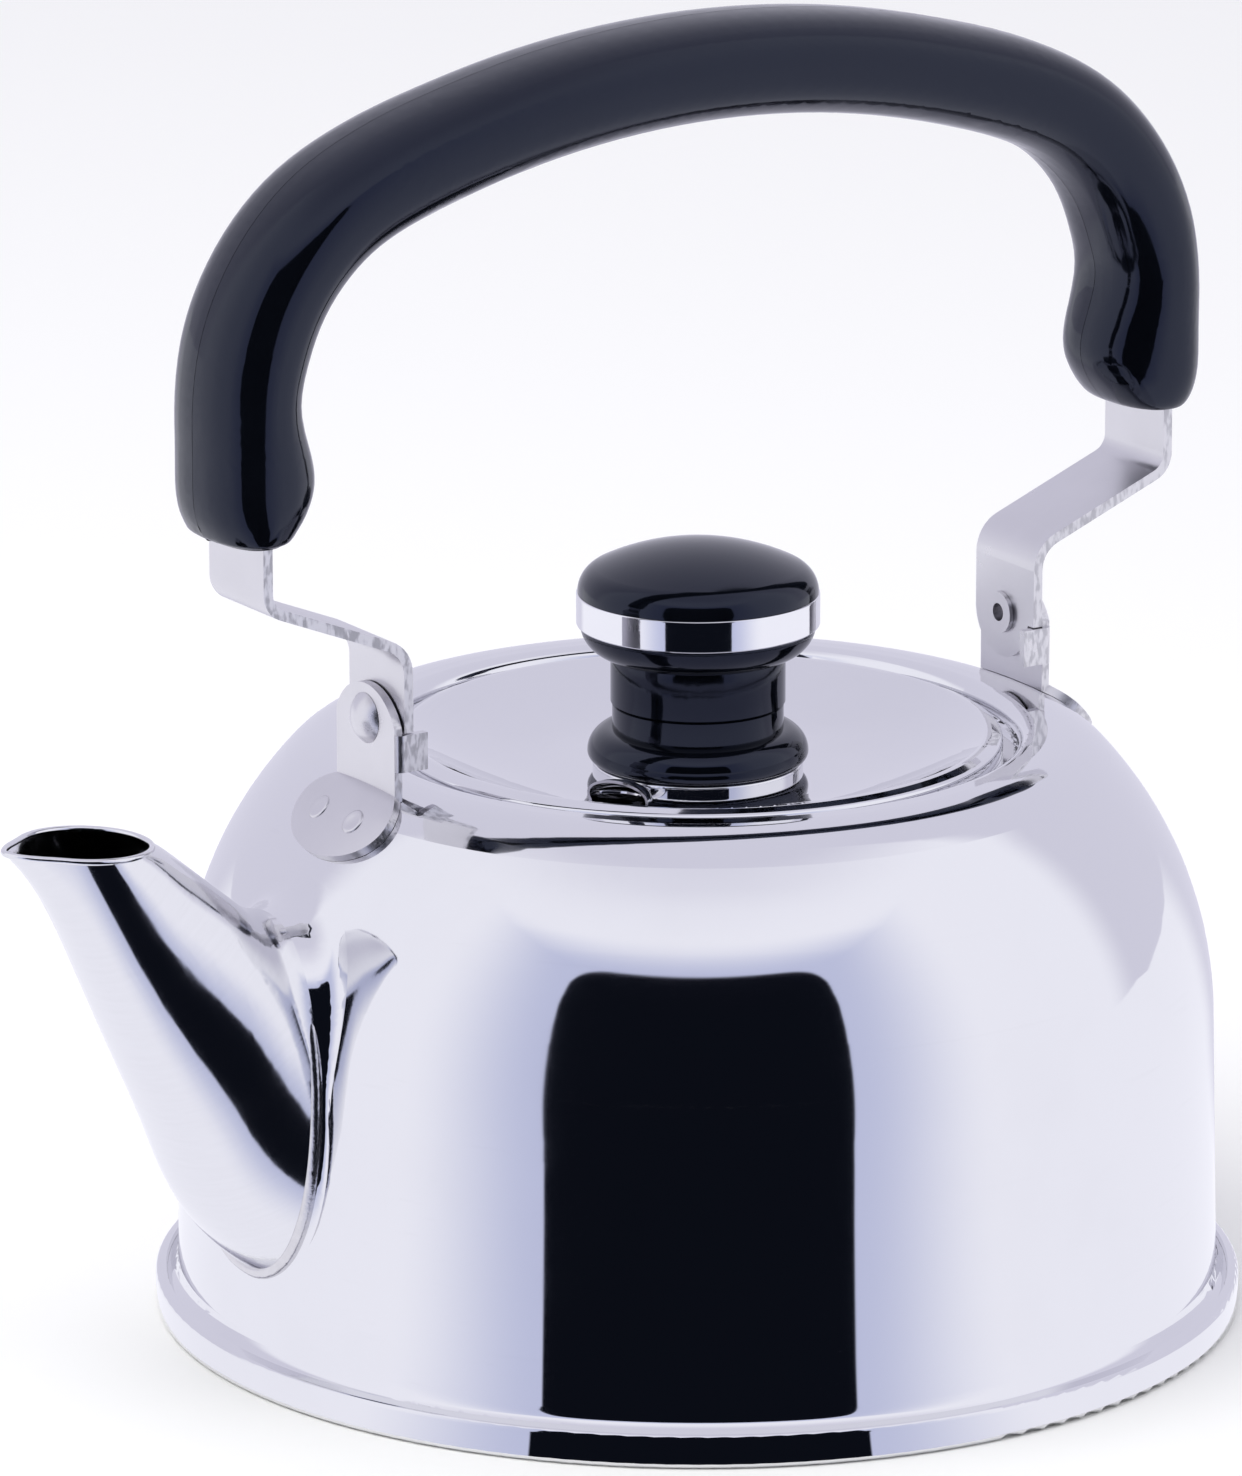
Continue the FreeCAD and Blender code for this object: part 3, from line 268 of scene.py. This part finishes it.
# ---------------------------------------------------------------- finishes
def sheet_steel(name, colour, roughness):
    """Polished sheet: faint wiped marks, hair-fine polishing rings and a slight waviness."""
    finish = new_material(name)
    place = finish.place()
    x, y, z = finish.split(place)
    reach = (x * x + y * y) ** 0.5
    rings = finish.grain(finish.point(reach, 0.0, z), 1500, 3)
    wiped = finish.ease(finish.grain(place, 26, 4), 0.5, 0.78)
    scratch = finish.ease(finish.grain(finish.point(reach * 9, y, z * 9), 90, 5), 0.62, 0.74)
    tint = finish.blend(wiped * 0.35 + scratch * 0.15, colour, [part * 0.93 for part in colour])
    waves = finish.bump(finish.grain(place, 8, 1), 0.00003)
    relief = finish.bump(rings * 0.5 + scratch * 0.25, 0.0000012, waves)
    finish.metal(tint, roughness + wiped * 0.03 + rings * 0.02, relief)
    return finish


def spout_steel(colour, roughness):
    """Drawn sheet with buffing lines across the spout."""
    finish = new_material("spout_steel")
    place = finish.place()
    x, y, z = finish.split(place)
    along = z * 0.83 - x * 0.56
    lines = finish.grain(finish.point(along * 14, y, x), 120, 5)
    fine = finish.grain(finish.point(along * 60, y, x), 90, 3)
    wiped = finish.ease(finish.grain(place, 60, 3), 0.5, 0.7)
    tint = finish.blend(lines * 0.3, colour, [part * 0.86 for part in colour])
    waves = finish.bump(finish.grain(place, 30, 1), 0.00004)
    relief = finish.bump(lines * 0.6 + fine * 0.4, 0.000006, waves)
    finish.metal(tint, roughness + lines * 0.06 + wiped * 0.03, relief)
    return finish


def strap_steel(colour, roughness):
    """Tumbled strip steel: cloudy satin faces and torn, darker sheared edges."""
    finish = new_material("satin_steel")
    place = finish.place()
    x, y, z = finish.split(place)
    facing = finish.split(finish.add("NewGeometry", output=1))[1]
    edge = finish.ease(abs(facing), 0.75, 0.95)
    clouds = finish.grain(place, 75, 5)
    grit = finish.grain(place, 1700, 2)
    torn = finish.grain(finish.point(x * 3, y * 12, z), 420, 4)
    dark = edge * finish.ease(torn, 0.42, 0.6)
    tint = finish.blend(clouds * 0.35 + dark * 0.5, colour, [part * 0.72 for part in colour])
    relief = finish.bump(grit * 0.5 + torn * edge * 1.5 + clouds * 0.5, 0.000016)
    finish.metal(tint, roughness + clouds * 0.1 + dark * 0.25, relief)
    return finish


def ground_weld(colour):
    """A weld bead ground down and polished over: ripples and scratches."""
    finish = new_material("ground_weld")
    place = finish.place()
    ripple = finish.grain(place, 480, 3)
    scratch = finish.grain(place, 2300, 2)
    tint = finish.blend(ripple * 0.5, colour, [part * 0.75 for part in colour])
    relief = finish.bump(ripple + scratch * 0.3, 0.00012)
    finish.metal(tint, 0.14 + scratch * 0.14, relief)
    return finish


def moulded_plastic(name, colour, gloss, roughness):
    """Glossy moulded plastic: a very fine orange peel and a little dust haze."""
    finish = new_material(name)
    place = finish.place()
    peel = finish.grain(place, 320, 2)
    haze = finish.ease(finish.grain(place, 38, 5), 0.45, 0.75)
    tint = finish.blend(haze, colour, [part * 1.5 for part in colour])
    relief = finish.bump(peel, 0.000009, finish.bump(finish.grain(place, 30, 1), 0.00004))
    surface = finish.add("BsdfPrincipled", Base_Color=tint, Roughness=roughness + haze * 0.05,
                         IOR=1.52, Specular_Tint=gloss, Normal=relief)
    finish.add("OutputMaterial", Surface=surface)
    return finish


def bright_metal(name, colour, roughness, grain_size=900):
    """Small bright metal parts: turned rings and a trace of handling marks."""
    finish = new_material(name)
    place = finish.place()
    z = finish.split(place)[2]
    rings = finish.grain(finish.point(0.0, 0.0, z), grain_size, 2)
    marks = finish.grain(place, 130, 4)
    tint = finish.blend(marks * 0.3, colour, [part * 0.85 for part in colour])
    relief = finish.bump(rings, 0.000003, finish.bump(marks, 0.00001))
    finish.metal(tint, roughness + marks * 0.05, relief)
    return finish


# ---------------------------------------------------------------- pieces
def piece(name, mesh, finish, body):
    """A finished mesh as an object that rides on a body."""
    bmesh.ops.recalc_face_normals(mesh, faces=mesh.faces)
    for face in mesh.faces:
        face.smooth = True
    data = bpy.data.meshes.new(name)
    mesh.to_mesh(data)
    mesh.free()
    made = bpy.data.objects.new(name, data)
    bpy.context.scene.collection.objects.link(made)
    data.materials.append(finish)
    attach(made, body)
    return made


def colours():
    return bpy.context.scene.kettle_colours


def polish():
    return bpy.context.scene.kettle_polish


class KETTLE_OT_polished_sheet(bpy.types.Operator):
    """Polish the body, base, lid and the parts pressed from the same sheet"""
    bl_idname = "kettle.polished_sheet"
    bl_label = "Polished sheet"

    def execute(self, context):
        colour = tuple(colours().polished)
        wear(("body_shell", "base_pan", "lid_plate", "lid_skirt", "knob_seat_ring"),
             sheet_steel("mirror_steel", colour, polish().mirror))
        wear(("whistle_cup", "whistle_plate"),
             sheet_steel("whistle_steel", [part * 0.8 for part in colour], 0.2))
        return {"FINISHED"}


class KETTLE_OT_spout(bpy.types.Operator):
    """Finish the spout and the weld round its root"""
    bl_idname = "kettle.spout"
    bl_label = "Spout and weld"

    def execute(self, context):
        wear(("spout",), spout_steel(tuple(colours().polished), polish().brushed))
        wear(("spout_weld_bead",), ground_weld(tuple(colours().weld)))
        return {"FINISHED"}


class KETTLE_OT_bail(bpy.types.Operator):
    """Finish the bail's strap, its ears and its rivets"""
    bl_idname = "kettle.bail"
    bl_label = "Strap, ears and rivets"

    def execute(self, context):
        wear(("bail_strap", "ear_front", "ear_rear", "rivet_front", "rivet_rear"),
             strap_steel(tuple(colours().satin), polish().satin))
        return {"FINISHED"}


class KETTLE_OT_grip(bpy.types.Operator):
    """Finish the two halves of the grip"""
    bl_idname = "kettle.grip"
    bl_label = "Grip"

    def execute(self, context):
        wear(("grip_half_near", "grip_half_far"),
             moulded_plastic("grip_plastic", tuple(colours().plastic), tuple(colours().gloss),
                             polish().plastic))
        return {"FINISHED"}


class KETTLE_OT_knob(bpy.types.Operator):
    """Finish the knob, its bright band and the fixings inside it"""
    bl_idname = "kettle.knob"
    bl_label = "Knob"

    def execute(self, context):
        wear(("knob_foot", "knob_stem", "knob_cap"),
             moulded_plastic("knob_plastic", tuple(colours().plastic), tuple(colours().gloss),
                             polish().plastic * 0.8))
        wear(("knob_band",), bright_metal("band_chrome", tuple(colours().chrome), 0.03))
        wear(("knob_insert",), bright_metal("insert_brass", tuple(colours().brass), 0.25))
        wear(("knob_washer", "knob_screw"),
             bright_metal("fixing_steel", tuple(colours().satin), 0.3))
        return {"FINISHED"}


class KETTLE_OT_spot_welds(bpy.types.Operator):
    """Press the marks of the spot welds into the feet of the ears"""
    bl_idname = "kettle.spot_welds"
    bl_label = "Spot welds"

    def execute(self, context):
        radius = polish().spot
        finish = NODES["ear_front"].material_slots[0].material
        for name in ("ear_front", "ear_rear"):
            low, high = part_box(name)
            side = 1 if low.x + high.x > 0 else -1
            slope = Vector((side, 0, 1)).normalized()
            down = Vector((side, 0, -1)).normalized()
            outer = Vector((low.x if side < 0 else high.x, 0, low.z))
            foot = outer - down * 0.0085
            for number, across in enumerate((-0.5, 0.5)):
                start = foot + Vector((0, across * polish().spot_spread, 0)) + slope * 0.02
                hit, place, facing, _ = NODES[name].ray_cast(start, -slope)
                if not hit:
                    raise RuntimeError(f"no foot under the spot weld on {name}")
                mark = self.mark(radius)
                turn = UP.rotation_difference(facing).to_matrix().to_4x4()
                bmesh.ops.transform(mark, matrix=Matrix.Translation(place) @ turn,
                                    verts=mark.verts)
                piece(f"spot_weld_{name[4:]}_{number + 1}", mark, finish, "kettle")
        return {"FINISHED"}

    def mark(self, radius):
        """A shallow dish with a soft raised lip."""
        mesh = bmesh.new()
        profile = ((0, -0.15), (0, 0.04), (0.45, 0.05), (0.72, 0.10), (0.86, 0.09), (1, 0.0), (1, -0.15))
        points = [mesh.verts.new((radius * out, 0, radius * up)) for out, up in profile]
        ring = points + [points[0]]
        edges = [mesh.edges.new(pair) for pair in zip(ring, ring[1:])]
        bmesh.ops.spin(mesh, geom=points + edges, cent=(0, 0, 0), axis=UP, angle=2 * math.pi,
                       steps=32, use_merge=True)
        bmesh.ops.remove_doubles(mesh, verts=mesh.verts, dist=1e-7)
        return mesh


# ---------------------------------------------------------------- studio
class KETTLE_OT_studio(bpy.types.Operator):
    """Set up the floor, the reflected studio, the lamp and the camera"""
    bl_idname = "kettle.studio"
    bl_label = "Studio"

    def execute(self, context):
        studio = context.scene.kettle_studio
        self.studio = studio
        bearing = studio.azimuth
        self.ahead = Vector((math.sin(bearing), -math.cos(bearing), 0))
        self.right = Vector((math.cos(bearing), math.sin(bearing), 0))
        self.world()
        self.floor()
        self.table_reflection()
        self.lamp()
        self.camera()
        context.scene.view_settings.view_transform = "Standard"
        return {"FINISHED"}

    def light_around(self, finish, across, along, rise, side_end):
        """The studio's light by bearing and height: dark window, side lights, room."""
        studio = self.studio
        bearing = finish.math("ARCTAN2", abs(across), along)
        height = finish.math("ARCSINE", rise)
        above = finish.math("MAXIMUM", height, 0.0)
        window = (bearing / studio.window) ** 9 + (above / studio.window_top) ** 9
        dark = 1 - finish.ease(window, 0.93, 1.07)
        opened = finish.ease(bearing, studio.window, studio.window + math.radians(34))
        topped = finish.ease(height, studio.window_top, studio.window_top + math.radians(10))
        softbox = finish.math("MAXIMUM", opened, topped)
        ending = finish.ease(bearing, side_end - math.radians(12), side_end)
        rising = finish.ease(height, studio.side_top - math.radians(30), studio.side_top)
        beside = finish.blend(softbox, studio.dusk, studio.white)
        open_room = finish.math("MAXIMUM", ending, rising)
        lit = finish.blend(open_room, beside, studio.haze)
        return finish.blend(dark, lit, (0.004, 0.005, 0.009))

    def world(self):
        world = bpy.data.worlds.new("studio")
        bpy.context.scene.world = world
        finish = Finish(world)
        x, y, z = finish.split(finish.place("Generated"))
        across = x * self.right.x + y * self.right.y
        along = x * self.ahead.x + y * self.ahead.y
        around = self.light_around(finish, across, along, z, self.studio.side_end)
        seen = finish.add("LightPath", output="Is Camera Ray")
        shown = finish.blend(seen, around, (1.0, 1.0, 1.0))
        finish.add("OutputWorld", Surface=finish.add("Background", Color=shown))

    def stage_piece(self, name, mesh, finish):
        data = bpy.data.meshes.new(name)
        mesh.to_mesh(data)
        mesh.free()
        made = bpy.data.objects.new(name, data)
        bpy.context.scene.collection.objects.link(made)
        data.materials.append(finish.owner)
        return made

    def floor(self):
        finish = new_material("floor_paper")
        tone = finish.grain(finish.place(), 3, 3)
        paper = finish.blend(tone * 0.02, (0.98, 0.98, 0.92), (0.97, 0.97, 0.91))
        finish.add("OutputMaterial", Surface=finish.add("BsdfDiffuse", Color=paper))
        mesh = bmesh.new()
        bmesh.ops.create_grid(mesh, x_segments=1, y_segments=1, size=1000)
        self.stage_piece("floor", mesh, finish)

    def table_reflection(self):
        """The lit table as the metal mirrors it, seen only in reflections."""
        finish = new_material("table_glow")
        x, y, z = finish.split(finish.place())
        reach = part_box("base_pan")[1].x
        across = x * self.right.x + y * self.right.y
        along = x * self.ahead.x + y * self.ahead.y - reach / 2
        around = self.light_around(finish, across, along, z * 0.0, math.radians(150))
        finish.add("OutputMaterial", Surface=finish.add("Emission", Color=around))
        mesh = bmesh.new()
        bmesh.ops.create_circle(mesh, segments=128, radius=reach * 1.01)
        grown = bmesh.ops.extrude_edge_only(mesh, edges=mesh.edges)["geom"]
        outer = [part for part in grown if isinstance(part, bmesh.types.BMVert)]
        bmesh.ops.scale(mesh, verts=outer, vec=(9000, 9000, 1))
        bmesh.ops.translate(mesh, verts=mesh.verts, vec=(0, 0, 0.0004))
        made = self.stage_piece("table_glow", mesh, finish)
        made.visible_camera = False
        made.visible_diffuse = False
        made.visible_shadow = False
        made.visible_transmission = False

    def lamp(self):
        light = bpy.data.lights.new("overhead", "AREA")
        light.shape = "DISK"
        light.size = 1.3
        light.energy = self.studio.lamp
        made = bpy.data.objects.new("overhead", light)
        bpy.context.scene.collection.objects.link(made)
        place = self.ahead * 0.5 - self.right * 0.5 + UP * 1.5
        made.location = place
        made.rotation_euler = (-place).to_track_quat("-Z", "Y").to_euler()
        made.visible_glossy = False

    def camera(self):
        studio = self.studio
        level = math.cos(studio.elevation)
        back = self.ahead * level + UP * math.sin(studio.elevation)
        data = bpy.data.cameras.new("camera")
        data.lens = studio.lens
        data.clip_start = 0.05
        made = bpy.data.objects.new("camera", data)
        bpy.context.scene.collection.objects.link(made)
        made.location = Vector(studio.aim) + back * studio.distance
        made.rotation_euler = (-back).to_track_quat("-Z", "Y").to_euler()
        bpy.context.scene.camera = made


# ---------------------------------------------------------------- add-on
STEPS = (KETTLE_OT_polished_sheet, KETTLE_OT_spout, KETTLE_OT_bail, KETTLE_OT_grip,
         KETTLE_OT_knob, KETTLE_OT_spot_welds, KETTLE_OT_studio)


class KETTLE_PT_panel(bpy.types.Panel):
    bl_idname = "KETTLE_PT_panel"
    bl_label = "Whistling kettle"
    bl_space_type = "VIEW_3D"
    bl_region_type = "UI"
    bl_category = "Kettle"

    def draw(self, context):
        for group in GROUPS:
            box = self.layout.box()
            for name in group.__annotations__:
                box.prop(getattr(context.scene, GROUPS[group]), name)
        for step in STEPS:
            self.layout.operator(step.bl_idname)


GROUPS = {KettleColours: "kettle_colours", KettlePolish: "kettle_polish",
          KettleStudio: "kettle_studio"}


def register():
    for group, name in GROUPS.items():
        bpy.utils.register_class(group)
        setattr(bpy.types.Scene, name, PointerProperty(type=group))
    for step in (*STEPS, KETTLE_PT_panel):
        bpy.utils.register_class(step)


def unregister():
    for step in (KETTLE_PT_panel, *reversed(STEPS)):
        bpy.utils.unregister_class(step)
    for group, name in GROUPS.items():
        delattr(bpy.types.Scene, name)
        bpy.utils.unregister_class(group)


def main():
    register()
    bpy.ops.kettle.polished_sheet()
    bpy.ops.kettle.spout()
    bpy.ops.kettle.bail()
    bpy.ops.kettle.grip()
    bpy.ops.kettle.knob()
    bpy.ops.kettle.spot_welds()
    bpy.ops.kettle.studio()


if __name__ == "__main__":
    main()
